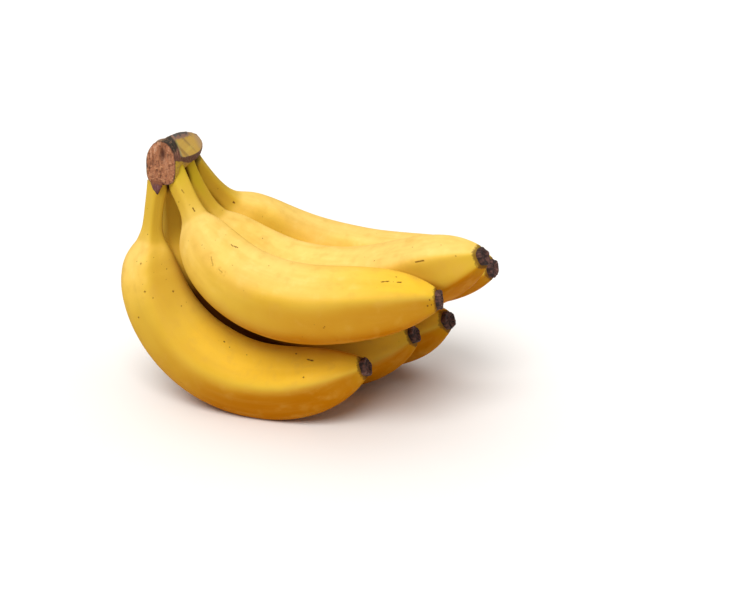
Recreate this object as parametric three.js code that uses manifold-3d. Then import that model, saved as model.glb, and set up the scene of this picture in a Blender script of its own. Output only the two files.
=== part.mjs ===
// A bunch of six ripe bananas on one crown, lying on its lower row.
// Millimetres, +Z up. The tips point along +X, the origin is on the surface under the middle of the bunch.
import * as THREE from 'three';
import { mergeVertices } from 'three/addons/utils/BufferGeometryUtils.js';
import Module from 'manifold-3d';

const wasm = await Module();
wasm.setup();

// Shape shared by every banana
const bodyRadius = 19.4;
const endRadius = 5.4;
const shoulderLength = 9;
const shoulderSoftness = 3;
const endTaper = 19;
const neckFlare = 0.2;
const flareLength = 8;
const waist = 0.13;
const waistSpan = [45, 105];
const waistStart = [-5, 15];
const ridges = 5;
const facePower = 5;
const neckFacePower = 10;
const endFacePower = 9;
const angularReach = 45;
const touchGap = 0.3;

// Dried flower end
const nubRadius = 4.5;
const nubLength = 2.6;
const nubGap = 0.3;
const nubProfile = [[nubGap, 0.94], [0.5 * nubLength, 1], [0.85 * nubLength, 0.92], [nubLength, 0.7]];
const nubLobes = 0.05;
const nubSides = 15;

// The surface that the lower row presses its three flat spots on
const surfaceSize = [400, 300, 100];

// Mesh fineness: rings are close together at the crown, the shoulder and the end, and wide apart
// between them
const sides = 20;
const pathSteps = 240;
const shortStep = 3.2;
const longStep = 8.5;
const crownReach = [6, 24];
const shoulderMiddle = 4;
const shoulderReach = [4, 30];
const endReach = [4, 45];
const meanSamples = 60;
const pressHalvings = 14;
const weldDistance = 1e-4;

// Each banana: where its centre line leaves the crown, the compass heading of its tip and how that
// turns, the sideways lean of its bend, its slope at both ends and between which lengths it bends.
// Its drop is how far the body hangs outside the line of the neck, or inside it where that is negative.
const bananas = {
  low_front: {
    root: [-75.8, -27.4, 110.7], heading: 16.5, sweep: -15, lean: 8,
    slope: [-100, 23.5], bend: [-4, 175.5], length: 178.5,
    neck: 29.5, neckRadius: 4.4, drop: 3, roll: 69,
  },
  low_middle: {
    root: [-74.6, -14.6, 107.3], heading: 10, sweep: -2, lean: -7.5,
    slope: [-100.5, 28.5], bend: [-21.5, 198], length: 189.5,
    neck: 31, neckRadius: 4.9, drop: -2.5, roll: 80,
  },
  low_back: {
    root: [-78.8, -1.4, 106.5], heading: 5.5, sweep: -5, lean: -24.5,
    slope: [-92, 30], bend: [-14.5, 206.5], length: 197,
    neck: 37, neckRadius: 4.9, drop: 3.5, roll: 50,
  },
  high_front: {
    root: [-74.3, -19.6, 120.5], heading: 7.5, sweep: 2.5, lean: 31.5,
    slope: [-55.5, 9.5], bend: [23, 135], length: 170.5,
    neck: 36, neckRadius: 5.1, drop: 2.2, roll: 74,
  },
  high_middle: {
    root: [-73.1, -7.9, 114.5], heading: 5.5, sweep: -12, lean: -5.5,
    slope: [-69, 25.5], bend: [-15.5, 153], length: 190.5,
    neck: 33.5, neckRadius: 4.9, drop: 2, roll: 29,
  },
  high_back: {
    root: [-73.9, 3.7, 111.4], heading: 8, sweep: -6.5, lean: -27.5,
    slope: [-64.5, 13], bend: [-2.5, 154.5], length: 183,
    neck: 31.5, neckRadius: 4.8, drop: -2, roll: 60,
  },
};

// Colours and finish
const peel = { color: 0xe9b93a, roughness: 0.45, metalness: 0 };
const driedStalk = { color: 0x7a5233, roughness: 0.9, metalness: 0 };
const driedFlower = { color: 0x4a3324, roughness: 0.95, metalness: 0 };

const radians = THREE.MathUtils.degToRad;

// A smooth rise from 0 to 1 as x goes between two places, in either order
function ramp(from, to, x) {
  const t = Math.min(Math.max((x - from) / (to - from), 0), 1);
  return t * t * (3 - 2 * t);
}

// The centre line: small steps along a direction whose slope runs smoothly between its two values
function centreLine(banana) {
  const lean = radians(banana.lean);
  const step = banana.length / pathSteps;
  const directions = [];
  const along = [];
  for (let i = 0; i <= pathSteps; i += 1) {
    const d = i * step;
    const slope = radians(THREE.MathUtils.lerp(...banana.slope, ramp(...banana.bend, d)));
    const heading = radians(banana.heading + banana.sweep * ramp(0, banana.length, d));
    const forward = new THREE.Vector3(Math.cos(heading), Math.sin(heading), 0);
    const left = new THREE.Vector3(-forward.y, forward.x, 0);
    const direction = forward.clone().multiplyScalar(Math.cos(slope));
    direction.addScaledVector(left, Math.sin(slope) * Math.sin(lean));
    direction.z += Math.sin(slope) * Math.cos(lean);
    const across = left.multiplyScalar(Math.cos(lean));
    across.z -= Math.sin(lean);
    directions.push({ direction, across });
    along.push(d);
  }
  const point = new THREE.Vector3(...banana.root);
  return directions.map(({ direction, across }, i) => {
    if (i > 0) {
      point.addScaledVector(direction, step / 2);
      point.addScaledVector(directions[i - 1].direction, step / 2);
    }
    const tangent = direction.clone().normalize();
    across.addScaledVector(tangent, -across.dot(tangent)).normalize();
    const upward = new THREE.Vector3().crossVectors(tangent, across);
    const middle = point.clone().addScaledVector(upward, -banana.drop * shoulder(banana, along[i]));
    return { point: middle, tangent, across, upward, radius: girth(banana, along[i]) };
  });
}

// How far the shoulder has come at a distance along a banana, from 0 on the neck to 1 on the body
function shoulder(banana, d) {
  const past = shoulderSoftness * Math.log1p(Math.exp((d - banana.neck) / shoulderSoftness));
  return 1 - Math.exp(-past / shoulderLength);
}

// Radius along a banana: a slim neck that flares at the crown, a soft shoulder, the fullest part past
// the middle, a blunt end
function girth(banana, d) {
  const slim = banana.neckRadius / bodyRadius;
  const start = slim + (1 - slim) * shoulder(banana, d);
  const end = 1 - (1 - endRadius / bodyRadius) * Math.exp(-(banana.length - d) / endTaper);
  const slimmer = 1 - waist * (1 - ramp(...waistSpan, d)) * ramp(...waistStart, d - banana.neck);
  const flare = 1 + neckFlare * Math.exp(-d / flareLength);
  return bodyRadius * start * end * slimmer * flare;
}

// A pentagon with round corners, as a factor on the radius; a higher power is sharper
function pentagon(angle, power) {
  let sum = 0;
  for (let k = 0; k < ridges; k += 1) {
    sum += Math.max(Math.cos(angle - (k * 2 * Math.PI) / ridges), 0) ** power;
  }
  return sum ** (-1 / power);
}

function meanOfPentagon(power) {
  let sum = 0;
  for (let k = 0; k < meanSamples; k += 1) sum += pentagon((k * 2 * Math.PI) / meanSamples, power);
  return sum / meanSamples;
}

// Distances along the banana of its rings, closer where the radius changes fast
function ringStations(banana) {
  const stations = [0];
  let d = 0;
  while (d < banana.length - shortStep) {
    const fromCrown = ramp(...crownReach, d);
    const fromShoulder = ramp(...shoulderReach, Math.abs(d - banana.neck - shoulderMiddle));
    const fromEnd = ramp(...endReach, banana.length - d);
    d += shortStep + (longStep - shortStep) * Math.min(fromCrown, fromShoulder, fromEnd);
    stations.push(d);
  }
  const stretch = banana.length / d;
  return stations.map((station) => station * stretch);
}

// How far a point is outside a banana's round girth, taken at the nearest place on its centre line
function clearance(point, line) {
  let least = Infinity;
  for (const place of line) {
    least = Math.min(least, point.distanceTo(place.point) - place.radius);
  }
  return least;
}

// A closed skin over rings of points, with a flat cap at both ends
function skinOfRings(rings) {
  const count = rings[0].length;
  const positions = [];
  const index = [];
  for (const ring of rings) for (const p of ring) positions.push(p.x, p.y, p.z);
  for (let i = 0; i + 1 < rings.length; i += 1) {
    for (let j = 0; j < count; j += 1) {
      const a = i * count + j;
      const b = i * count + ((j + 1) % count);
      index.push(a, b, b + count, a, b + count, a + count);
    }
  }
  for (const [ring, flip] of [[0, true], [rings.length - 1, false]]) {
    const middle = new THREE.Vector3();
    for (const p of rings[ring]) middle.addScaledVector(p, 1 / count);
    const hub = positions.length / 3;
    positions.push(middle.x, middle.y, middle.z);
    for (let j = 0; j < count; j += 1) {
      const a = ring * count + j;
      const b = ring * count + ((j + 1) % count);
      index.push(...(flip ? [hub, b, a] : [hub, a, b]));
    }
  }
  const geometry = new THREE.BufferGeometry();
  geometry.setAttribute('position', new THREE.Float32BufferAttribute(positions, 3));
  geometry.setIndex(index);
  return geometry;
}

// One banana's skin. A point that would enter a neighbour is pulled back to the surface midway
// between the two, so bananas that press on each other meet in soft flats.
function bananaSkin(name, lines) {
  const banana = bananas[name];
  const line = lines[name];
  const others = Object.keys(lines).filter((other) => other !== name).map((other) => lines[other]);
  const rings = ringStations(banana).map((d) => {
    const place = line[Math.round((d / banana.length) * pathSteps)];
    const power = facePower + (neckFacePower - facePower) * Math.exp(-((d / angularReach) ** 2))
      + (endFacePower - facePower) * Math.exp(-(((banana.length - d) / angularReach) ** 2));
    const mean = meanOfPentagon(power);
    const ring = [];
    for (let k = 0; k < sides; k += 1) {
      const angle = (k * 2 * Math.PI) / sides;
      const outward = place.across.clone().multiplyScalar(Math.cos(angle));
      outward.addScaledVector(place.upward, Math.sin(angle));
      const full = (place.radius * pentagon(angle - radians(banana.roll), power)) / mean;
      ring.push(pressedBack(place.point, outward, full, line, others));
    }
    return ring;
  });
  return skinOfRings(rings);
}

function pressedBack(centre, outward, full, line, others) {
  const at = (reach) => centre.clone().addScaledVector(outward, reach);
  const fits = (point) => others.every(
    (other) => clearance(point, other) - clearance(point, line) >= touchGap * 2,
  );
  const near = others.some((other) => clearance(at(full), other) < full);
  if (!near || fits(at(full))) return at(full);
  let [inside, outside] = [0, full];
  for (let i = 0; i < pressHalvings; i += 1) {
    const middle = (inside + outside) / 2;
    if (fits(at(middle))) inside = middle;
    else outside = middle;
  }
  return at(inside);
}

// Crown: the thick piece of stalk that carries the necks, cut off in front and trimmed on its right.
// It sinks towards the back, and its underside slants down to the left, where it swells over the
// necks of the lower row.
const crown = {
  middleY: -15.75, halfLength: 24.75, endPower: 4, topPower: 2, underPower: 4,
  centreX: [-71.8, -76], centreZ: [122.1, 115.6], halfWidth: [7.4, 6.6], halfHeight: [11.4, 5.8],
  slant: 0.6, slantSpan: [-27.7, -24.2], underTilt: 0.9, fallSpan: [-31.1, 15.3], fallPower: 2.2,
  swell: 2.2, swellSpan: [-31.1, -19.1], swellHeight: [0.6, -0.2],
  cutNormal: [0.25, -0.97, 0.05], cutPoint: [-79, -33.6, 122],
  trimNormal: [0.86, 0.16, 0.48], trimPoint: [-64.5, -18.7, 121.8], trimSpan: [-26.7, -19.7],
};
const crownRings = 18;
const crownSides = 24;
const stalkGap = 0.3;
const tongue = { width: 6.5, thickness: 3.4, length: 9, at: [-74.5, -32.3, 109], sides: 8 };

function crownSkin(grow) {
  const planes = [[crown.cutNormal, crown.cutPoint], [crown.trimNormal, crown.trimPoint]].map(([n, p]) => {
    const normal = new THREE.Vector3(...n).normalize();
    return { normal, offset: normal.dot(new THREE.Vector3(...p)) + grow };
  });
  const rings = [];
  for (let i = 0; i <= crownRings; i += 1) {
    const v = -Math.cos((Math.PI * (i + 0.5)) / (crownRings + 1));
    const y = crown.middleY + (crown.halfLength + grow) * v;
    const shrink = (1 - Math.abs(v) ** crown.endPower) ** (1 / crown.endPower);
    const past = THREE.MathUtils.inverseLerp(...crown.fallSpan, y);
    const fall = Math.max(past, 0) ** crown.fallPower;
    const slant = crown.slant * ramp(...crown.slantSpan, y);
    const swell = crown.swell * ramp(...crown.swellSpan, y);
    const ring = [];
    for (let k = 0; k < crownSides; k += 1) {
      const angle = (-k * 2 * Math.PI) / crownSides;
      const [c, s] = [Math.cos(angle), Math.sin(angle)];
      const power = s > 0 ? crown.topPower : crown.underPower;
      const reach = (Math.abs(c) ** power + Math.abs(s) ** power) ** (-1 / power);
      const bulge = c < 0 ? swell * ramp(...crown.swellHeight, s) : 0;
      const dx = (THREE.MathUtils.lerp(...crown.halfWidth, fall) + bulge + grow) * shrink * reach * c;
      const dz = (THREE.MathUtils.lerp(...crown.halfHeight, fall) + grow) * shrink * reach * s;
      const tilt = slant * (1 + crown.underTilt * Math.max(-s, 0));
      const point = new THREE.Vector3(
        THREE.MathUtils.lerp(...crown.centreX, fall) + dx,
        y,
        THREE.MathUtils.lerp(...crown.centreZ, fall) + dz + tilt * dx,
      );
      planes.forEach(({ normal, offset }, plane) => {
        const share = plane === 0 ? 1 : ramp(...crown.trimSpan, y);
        point.addScaledVector(normal, -share * Math.max(point.dot(normal) - offset, 0));
      });
      ring.push(point);
    }
    rings.push(ring);
  }
  return skinOfRings(rings);
}

function tongueSkin(grow) {
  const geometry = new THREE.ConeGeometry(0.5, 1, tongue.sides);
  geometry.scale(tongue.width + 2 * grow, tongue.length + 2 * grow, tongue.thickness + 2 * grow);
  geometry.rotateX(-Math.PI / 2);
  geometry.translate(...tongue.at);
  return geometry;
}

function solidOf(geometry) {
  const plain = geometry.clone();
  plain.deleteAttribute('normal');
  plain.deleteAttribute('uv');
  const merged = mergeVertices(plain, weldDistance);
  return new wasm.Manifold(new wasm.Mesh({
    numProp: 3,
    vertProperties: new Float32Array(merged.attributes.position.array),
    triVerts: new Uint32Array(merged.index.array),
  }));
}

function geometryOf(solid) {
  const mesh = solid.getMesh();
  const geometry = new THREE.BufferGeometry();
  geometry.setAttribute('position', new THREE.BufferAttribute(new Float32Array(mesh.vertProperties), 3));
  geometry.setIndex(new THREE.BufferAttribute(new Uint32Array(mesh.triVerts), 1));
  return geometry;
}

function crownSolid(grow) {
  return solidOf(crownSkin(grow)).add(solidOf(tongueSkin(grow)));
}

// The dried rest of the flower on a banana's end: a low five-lobed stub with a round shoulder
function nubSkin(place) {
  const rings = nubProfile.map(([rise, size]) => {
    const ring = [];
    for (let k = 0; k < nubSides; k += 1) {
      const angle = (k * 2 * Math.PI) / nubSides;
      const reach = nubRadius * size * (1 + nubLobes * Math.cos(ridges * angle));
      const point = place.point.clone().addScaledVector(place.tangent, rise);
      point.addScaledVector(place.across, reach * Math.cos(angle));
      point.addScaledVector(place.upward, reach * Math.sin(angle));
      ring.push(point);
    }
    return ring;
  });
  return skinOfRings(rings);
}

function namedMesh(name, geometry, finish) {
  const mesh = new THREE.Mesh(geometry, new THREE.MeshStandardMaterial(finish));
  mesh.name = name;
  return mesh;
}

const group = new THREE.Group();
const lines = Object.fromEntries(Object.entries(bananas).map(([name, banana]) => [name, centreLine(banana)]));
const stalkSpace = crownSolid(stalkGap);
const surface = new THREE.BoxGeometry(...surfaceSize);
surface.translate(0, 0, -surfaceSize[2] / 2);
const underSurface = solidOf(surface);

group.add(namedMesh('crown', geometryOf(crownSolid(0)), driedStalk));
for (const name of Object.keys(bananas)) {
  const solid = solidOf(bananaSkin(name, lines)).subtract(stalkSpace).subtract(underSurface);
  group.add(namedMesh(`banana_${name}`, geometryOf(solid), peel));
  group.add(namedMesh(`tip_${name}`, nubSkin(lines[name].at(-1)), driedFlower));
}

export default group;
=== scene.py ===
"""A bunch of six ripe bananas on one crown: fine skins, finishes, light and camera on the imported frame."""
import itertools
import logging
import math
from dataclasses import dataclass, field
from enum import Enum

import bpy
import numpy as np
from mathutils import Matrix


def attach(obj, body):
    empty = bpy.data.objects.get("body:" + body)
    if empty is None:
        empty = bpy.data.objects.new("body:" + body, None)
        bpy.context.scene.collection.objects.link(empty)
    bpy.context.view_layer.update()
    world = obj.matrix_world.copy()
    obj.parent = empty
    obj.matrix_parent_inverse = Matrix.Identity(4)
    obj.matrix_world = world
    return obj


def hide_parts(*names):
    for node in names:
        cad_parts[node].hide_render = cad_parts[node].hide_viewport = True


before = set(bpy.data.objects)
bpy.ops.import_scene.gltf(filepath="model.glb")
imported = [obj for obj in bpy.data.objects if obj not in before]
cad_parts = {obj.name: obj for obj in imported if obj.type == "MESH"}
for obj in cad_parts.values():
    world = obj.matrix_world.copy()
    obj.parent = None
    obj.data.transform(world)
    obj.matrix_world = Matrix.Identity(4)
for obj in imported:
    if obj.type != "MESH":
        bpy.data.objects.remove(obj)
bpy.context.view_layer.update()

MILLIMETRE = 0.001
PHOTO_WIDTH = 745
PHOTO_HEIGHT = 600
BODY = "root"
UP = np.array([0.0, 0.0, 1.0])
LOG = logging.getLogger("bunch_of_bananas")

Vector3 = tuple[float, float, float]
Span = tuple[float, float]
Pixel = tuple[float, float]


def ramp(span: Span, x: np.ndarray) -> np.ndarray:
    """Smooth rise from 0 to 1 as x goes from one end of a span to the other.

    Args:
        span: Where the rise starts and where it ends, in either order.
        x: Values along the span.

    Returns:
        t * t * (3 - 2 * t), where t is x's share of the span, held between 0 and 1.
    """
    t = np.clip((x - span[0]) / (span[1] - span[0]), 0, 1)
    return t * t * (3 - 2 * t)


def mix(pair: Span, share: np.ndarray) -> np.ndarray:
    """The value between the two of a pair at a share from 0 to 1."""
    return pair[0] + (pair[1] - pair[0]) * share


def unit(vectors: np.ndarray) -> np.ndarray:
    """The same directions with length 1."""
    return vectors / np.linalg.norm(vectors, axis=-1, keepdims=True)


def paint(red: float, green: float, blue: float) -> np.ndarray:
    """A colour as seen on a screen, 0 to 255, as the linear numbers that light works with."""
    shown = np.array([red, green, blue]) / 255
    return np.where(shown <= 0.04045, shown / 12.92, ((shown + 0.055) / 1.055) ** 2.4)


def over(below: np.ndarray, above: np.ndarray, mask: np.ndarray) -> np.ndarray:
    """Lays one colour over another by a mask from 0 to 1."""
    return below + (above - below) * np.asarray(mask)[..., None]


def shade(red: float, green: float, blue: float) -> np.ndarray:
    """A plain colour, 0 to 255, as a field of a finish."""
    return field(default_factory=lambda: paint(red, green, blue))


@dataclass(frozen=True)
class Coat:
    """A colour that lies over others where some value rises through a span.

    Attributes:
        seen: The colour as seen on a screen, 0 to 255.
        span: The value where the coat starts and the value where it is at its fullest.
        strength: How much of it shows at its fullest, from 0 to 1.
    """

    seen: Vector3
    span: Span
    strength: float = 1

    @property
    def colour(self) -> np.ndarray:
        """The colour as the numbers that light works with."""
        return paint(*self.seen)

    def lay(self, below: np.ndarray, value: np.ndarray, mask: np.ndarray | float = 1) -> np.ndarray:
        """Lays the coat over a colour by ramp(span, value) * strength * mask.

        Args:
            below: The colour at each point so far.
            value: The value that the span is about.
            mask: Where the coat may lie at all, from 0 to 1.

        Returns:
            The colour at each point.
        """
        return over(below, self.colour, ramp(self.span, value) * self.strength * mask)


class Grain:
    """Smooth random values in space, from a lattice of seeded numbers."""

    SIZE = 32
    LAYER_SHIFT = 7.3

    def __init__(self, seed: int) -> None:
        """Fills the lattice from the seed."""
        self.values = np.random.default_rng(seed).uniform(-1, 1, (self.SIZE,) * 3)

    def at(self, points: np.ndarray, pitch: float | Vector3) -> np.ndarray:
        """Mixes the eight lattice values round each point, with smooth weights along each axis.

        Args:
            points: Places, as an array whose last axis holds x, y and z.
            pitch: Distance between lattice values, for all axes or for each.

        Returns:
            One value from -1 to 1 for each place.
        """
        place = points / np.asarray(pitch, dtype=float)
        cell = np.floor(place).astype(int)
        share = place - cell
        share = share * share * (3 - 2 * share)
        total = np.zeros(points.shape[:-1])
        for corner in itertools.product((0, 1), repeat=3):
            x, y, z = np.moveaxis((cell + corner) % self.SIZE, -1, 0)
            total += np.prod(np.where(corner, share, 1 - share), axis=-1) * self.values[x, y, z]
        return total

    def layered(self, points: np.ndarray, pitch: float | Vector3, layers: int) -> np.ndarray:
        """Adds layers of grain, each with half the pitch and half the weight of the one before.

        Args:
            points: Places, as an array whose last axis holds x, y and z.
            pitch: Distance between lattice values in the first layer.
            layers: How many layers there are.

        Returns:
            One value from about -1 to 1 for each place.
        """
        start = np.asarray(pitch, dtype=float)
        parts = [self.at(points + self.LAYER_SHIFT * n, start / 2**n) / 2**n for n in range(layers)]
        return sum(parts) / sum(1 / 2**n for n in range(layers))


@dataclass
class Skin:
    """A closed skin over rings of points, with a named value at every point.

    Attributes:
        rings: Points in millimetres, as rings x sides x 3. Seen against the way the rings follow each
            other, the sides run so that side x ring points outwards.
        values: Arrays that have one number or one vector for each point.
    """

    rings: np.ndarray
    values: dict[str, np.ndarray] = field(default_factory=dict)

    def flat(self, grid: np.ndarray) -> np.ndarray:
        """Lists a grid's values ring by ring, then the mean of the first ring and of the last."""
        hubs = grid[[0, -1]].mean(axis=1)
        return np.concatenate([grid.reshape((-1,) + grid.shape[2:]), hubs])

    def faces(self) -> tuple[np.ndarray, np.ndarray]:
        """Joins the points by their place on the grid.

        Returns:
            The quads between one ring and the next, and the triangles from each end ring to its middle.
        """
        rings, sides = self.rings.shape[:2]
        ring = np.arange(rings - 1)[:, None] * sides
        side = np.arange(sides)[None, :]
        after = (side + 1) % sides
        quads = np.stack([ring + side, ring + after, ring + sides + after, ring + sides + side], axis=-1)
        hub = rings * sides
        last = hub - sides
        near = np.stack([np.full(sides, hub), after[0], side[0]], axis=-1)
        far = np.stack([np.full(sides, hub + 1), last + side[0], last + after[0]], axis=-1)
        return quads.reshape(-1, 4), np.concatenate([near, far])


def outward(rings: np.ndarray) -> np.ndarray:
    """Outward direction at each point: the cross product of the step round the ring and the step on."""
    around = np.roll(rings, -1, axis=1) - np.roll(rings, 1, axis=1)
    onward = np.gradient(rings, axis=0)
    return unit(np.cross(around, onward) + 1e-9)


def add_object(name: str, data: bpy.types.ID) -> bpy.types.Object:
    """Adds an object to the scene, at the origin."""
    added = bpy.data.objects.new(name, data)
    bpy.context.scene.collection.objects.link(added)
    return added


def facing_matrix(right: np.ndarray, up: np.ndarray, back: np.ndarray) -> Matrix:
    """The turn that gives a camera or a lamp these directions to its right, up and behind it."""
    return Matrix(np.stack([right, up, back], axis=1).tolist()).to_4x4()


def build_piece(name: str, skins: list[Skin], finish: bpy.types.Material) -> bpy.types.Object:
    """Puts closed skins into one mesh, in metres, at the origin.

    Args:
        name: The piece's name.
        skins: The skins, which all carry the same named values.
        finish: The material.

    Returns:
        The piece, smooth shaded, with the named values as attributes of its points.
    """
    points = np.concatenate([skin.flat(skin.rings) for skin in skins]) * MILLIMETRE
    quads, triangles, start = [], [], 0
    for skin in skins:
        own_quads, own_triangles = skin.faces()
        quads.append(own_quads + start)
        triangles.append(own_triangles + start)
        start += skin.rings.shape[0] * skin.rings.shape[1] + 2
    quads, triangles = np.concatenate(quads), np.concatenate(triangles)
    mesh = bpy.data.meshes.new(name)
    mesh.vertices.add(len(points))
    mesh.vertices.foreach_set("co", points.ravel())
    mesh.loops.add(quads.size + triangles.size)
    mesh.loops.foreach_set("vertex_index", np.concatenate([quads.ravel(), triangles.ravel()]))
    starts = np.concatenate([np.arange(len(quads)) * 4, quads.size + np.arange(len(triangles)) * 3])
    mesh.polygons.add(len(starts))
    mesh.polygons.foreach_set("loop_start", starts)
    mesh.update(calc_edges=True)
    mesh.validate()
    mesh.shade_smooth()
    for key in skins[0].values:
        values = np.concatenate([skin.flat(skin.values[key]) for skin in skins])
        vector = values.ndim == 2
        attribute = mesh.attributes.new(key, "FLOAT_VECTOR" if vector else "FLOAT", "POINT")
        attribute.data.foreach_set("vector" if vector else "value", values.astype(np.float32).ravel())
    mesh.materials.append(finish)
    return add_object(name, mesh)


def carry(piece: bpy.types.Object, node: str) -> None:
    """Lets a piece ride on the bunch and stand for its node, and reports it.

    Args:
        piece: The finished piece.
        node: The node of the frame that it stands for.
    """
    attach(piece, BODY)
    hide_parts(node)
    LOG.info("%s stands for %s with %d faces", piece.name, node, len(piece.data.polygons))


class Value:
    """A number that varies over a surface, which takes part in sums as a plain number does."""

    def __init__(self, graph: "Graph", socket: bpy.types.NodeSocket) -> None:
        """Wraps an output socket of a graph."""
        self.graph = graph
        self.socket = socket

    def __add__(self, other: "Value | float") -> "Value":
        """Self plus other."""
        return self.graph.math("ADD", self, other)

    def __sub__(self, other: "Value | float") -> "Value":
        """Self minus other."""
        return self.graph.math("SUBTRACT", self, other)

    def __rsub__(self, other: float) -> "Value":
        """A plain number minus self."""
        return self.graph.math("SUBTRACT", other, self)

    def __mul__(self, other: "Value | float") -> "Value":
        """Self times other."""
        return self.graph.math("MULTIPLY", self, other)

    __radd__ = __add__
    __rmul__ = __mul__

    def rise(self, start: float, stop: float) -> "Value":
        """Smooth rise from 0 to 1 as the value goes from start to stop."""
        settings = {"interpolation_type": "SMOOTHSTEP"}
        inputs = {"Value": self, "From Min": start, "From Max": stop}
        return Value(self.graph, self.graph.node("ShaderNodeMapRange", settings, inputs).outputs["Result"])


class Graph:
    """A material's nodes, made through a few plain calls."""

    def __init__(self, name: str) -> None:
        """Starts a material with one surface shader."""
        self.material = bpy.data.materials.new(name)
        self.material.use_nodes = True
        self.tree = self.material.node_tree
        self.shader = self.tree.nodes["Principled BSDF"]

    def node(self, kind: str, settings: dict | None = None, inputs: dict | None = None) -> bpy.types.Node:
        """Adds a node.

        Args:
            kind: The node's type.
            settings: Its settings, which are set first.
            inputs: Values or links of its sockets, by name or by number.

        Returns:
            The node.
        """
        made = self.tree.nodes.new(kind)
        for key, setting in (settings or {}).items():
            setattr(made, key, setting)
        for key, entry in (inputs or {}).items():
            self.join(made.inputs[key], entry)
        return made

    def join(self, socket: bpy.types.NodeSocket, entry: object) -> None:
        """Links a value or another socket to an input, or sets the input to a number or colour."""
        if isinstance(entry, Value):
            self.tree.links.new(entry.socket, socket)
        elif isinstance(entry, bpy.types.NodeSocket):
            self.tree.links.new(entry, socket)
        elif isinstance(entry, np.ndarray):
            socket.default_value = (*entry, 1.0)
        else:
            socket.default_value = entry

    def math(self, operation: str, first: Value | float, second: Value | float) -> Value:
        """One step of arithmetic on two values or numbers."""
        made = self.node("ShaderNodeMath", {"operation": operation}, {0: first, 1: second})
        return Value(self, made.outputs[0])

    def value(self, name: str) -> Value:
        """A number that the mesh carries at its points."""
        return Value(self, self.node("ShaderNodeAttribute", {"attribute_name": name}).outputs["Fac"])

    def vector(self, name: str) -> bpy.types.NodeSocket:
        """A vector that the mesh carries at its points."""
        return self.node("ShaderNodeAttribute", {"attribute_name": name}).outputs["Vector"]

    def place(self) -> bpy.types.NodeSocket:
        """The place on the piece, in metres."""
        return self.node("ShaderNodeTexCoord").outputs["Object"]

    def stretch(self, place: bpy.types.NodeSocket, scale: Vector3) -> bpy.types.NodeSocket:
        """A place with each of its axes scaled."""
        inputs = {0: place, 1: scale}
        return self.node("ShaderNodeVectorMath", {"operation": "MULTIPLY"}, inputs).outputs[0]

    def facing(self, normal: bpy.types.NodeSocket, direction: Vector3) -> Value:
        """How far a normal points in a direction, from -1 to 1."""
        made = self.node("ShaderNodeVectorMath", {"operation": "DOT_PRODUCT"}, {0: normal, 1: direction})
        return Value(self, made.outputs["Value"])

    def noise(self, place: bpy.types.NodeSocket, scale: float, detail: float) -> Value:
        """Soft noise from 0 to 1 at a place."""
        inputs = {"Vector": place, "Scale": scale, "Detail": detail}
        return Value(self, self.node("ShaderNodeTexNoise", inputs=inputs).outputs[0])

    def spots(self, place: bpy.types.NodeSocket, scale: float) -> tuple[Value, Value]:
        """Distance to the nearest of a scatter of points, and a random number of that point."""
        made = self.node("ShaderNodeTexVoronoi", inputs={"Vector": place, "Scale": scale})
        parts = self.node("ShaderNodeSeparateColor", inputs={0: made.outputs["Color"]})
        return Value(self, made.outputs["Distance"]), Value(self, parts.outputs[0])

    def blend(self, factor: Value | float, below: object, above: object) -> bpy.types.NodeSocket:
        """Lays one colour over another by a factor from 0 to 1."""
        inputs = {0: factor, 6: below, 7: above}
        return self.node("ShaderNodeMix", {"data_type": "RGBA"}, inputs).outputs[2]

    def lay(self, coat: Coat, below: object, value: Value, *masks: Value) -> bpy.types.NodeSocket:
        """Lays a coat over a colour.

        Args:
            coat: The coat.
            below: The colour so far.
            value: The value that the coat's span is about.
            masks: Where the coat may lie at all, each from 0 to 1.

        Returns:
            The colour, mixed by the value's rise through the span, times the strength and the masks.
        """
        factor = value.rise(*coat.span) * coat.strength
        for mask in masks:
            factor = factor * mask
        return self.blend(factor, below, coat.colour)

    def bump(self, height: Value, distance: float, strength: float) -> bpy.types.NodeSocket:
        """A normal that follows a height, in metres at its fullest."""
        inputs = {"Height": height, "Distance": distance, "Strength": strength}
        return self.node("ShaderNodeBump", inputs=inputs).outputs["Normal"]

    def finish(self, colour: object, rough: Value | float, normal: object, fixed: dict) -> bpy.types.Material:
        """Joins the surface shader.

        Args:
            colour: Base colour, as a socket or an array.
            rough: Roughness, as a value or a number.
            normal: The normal's socket.
            fixed: Plain numbers for the shader's other sockets.

        Returns:
            The material.
        """
        for key, entry in {"Base Color": colour, "Roughness": rough, "Normal": normal, **fixed}.items():
            self.join(self.shader.inputs[key], entry)
        return self.material


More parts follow.
